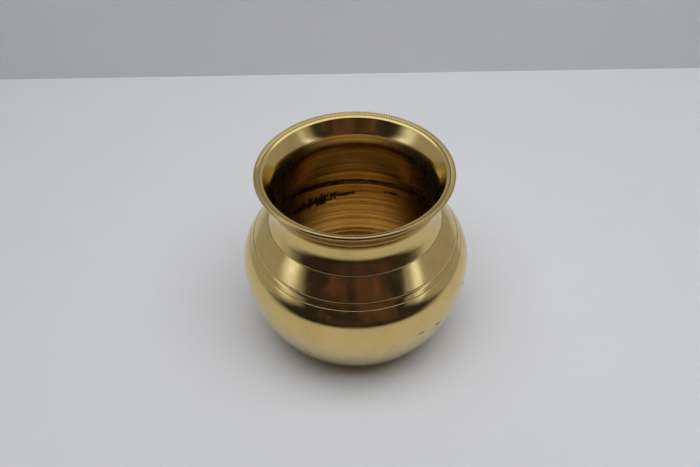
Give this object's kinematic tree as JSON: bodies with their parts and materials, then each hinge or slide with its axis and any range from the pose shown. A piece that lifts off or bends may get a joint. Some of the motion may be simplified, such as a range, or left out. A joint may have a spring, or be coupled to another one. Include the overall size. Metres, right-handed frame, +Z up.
{
  "type": "lota water pot",
  "caption": "Small round brass lota: wide belly on a flat base, sloping shoulder with fine turned lines, waisted neck and a flared lip with a milled edge, brazed from turned shells.",
  "frame": {"origin": "middle of the flat base, on the surface the pot stands on", "axes": "+Z up along the pot's turning axis; X and Y are free, because the pot is round"},
  "size_m": [0.0956, 0.0956, 0.0836],
  "materials": {
    "neck_brass": "polished, fine turned lines, oxide-toned bore",
    "shoulder_brass": "polished, fine turned lines",
    "bowl_brass": "polished, slightly dulled, small casting pits",
    "spelter": "dull, dark and uneven braze"
  },
  "bodies": {
    "root": {"neck_collar": "neck_brass", "shoulder_shell": "shoulder_brass", "bowl_shell": "bowl_brass", "neck_braze_seam": "spelter", "belly_braze_seam": "spelter"}
  },
  "joints": []
}
